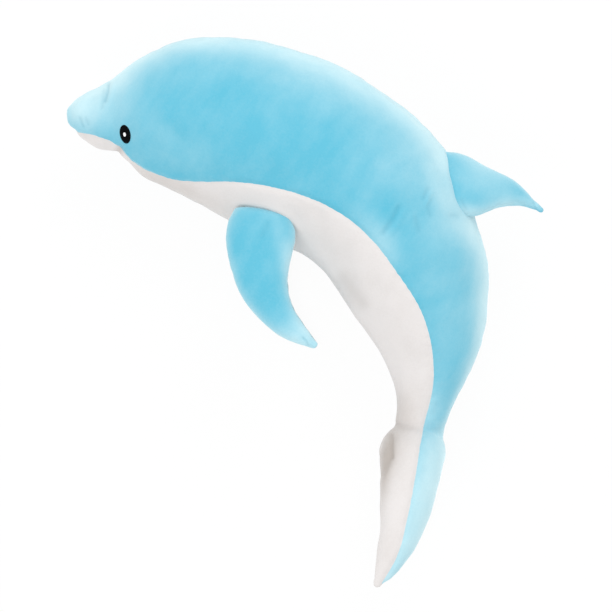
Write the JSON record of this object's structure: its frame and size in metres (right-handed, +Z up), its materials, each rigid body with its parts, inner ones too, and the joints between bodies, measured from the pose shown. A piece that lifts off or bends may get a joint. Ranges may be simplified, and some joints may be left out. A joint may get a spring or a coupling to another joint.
{
  "type": "plush dolphin",
  "caption": "Stuffed plush dolphin in a leaping curve, with blue back, white belly, flippers, a dorsal fin, a two-lobed fluke and embroidered eyes, lying on its side.",
  "frame": {"origin": "on the floor, under the middle of the bounding box of the dolphin lying on its right side", "axes": "+Z up from the floor, out of the dolphin's left side; -X towards the snout; +Y towards the top of the arched back, so the fluke points along -Y"},
  "size_m": [0.5148, 0.59, 0.176],
  "materials": {
    "blue_plush": "matte",
    "white_plush": "matte",
    "polyester_fibre": "matte",
    "black_thread": "satin",
    "white_thread": "satin"
  },
  "bodies": {
    "root": {"belly_panel": "white_plush", "body_filling": "polyester_fibre", "dorsal_fin_filling": "polyester_fibre", "dorsal_fin_left_panel": "blue_plush", "dorsal_fin_right_panel": "blue_plush", "left_back_panel": "blue_plush", "left_eye": "black_thread", "left_eye_highlight": "white_thread", "left_flipper_filling": "polyester_fibre", "left_flipper_inner_panel": "blue_plush", "left_flipper_outer_panel": "blue_plush", "right_back_panel": "blue_plush", "right_eye": "black_thread", "right_eye_highlight": "white_thread", "right_flipper_filling": "polyester_fibre", "right_flipper_inner_panel": "blue_plush", "right_flipper_outer_panel": "blue_plush"}
  },
  "joints": []
}
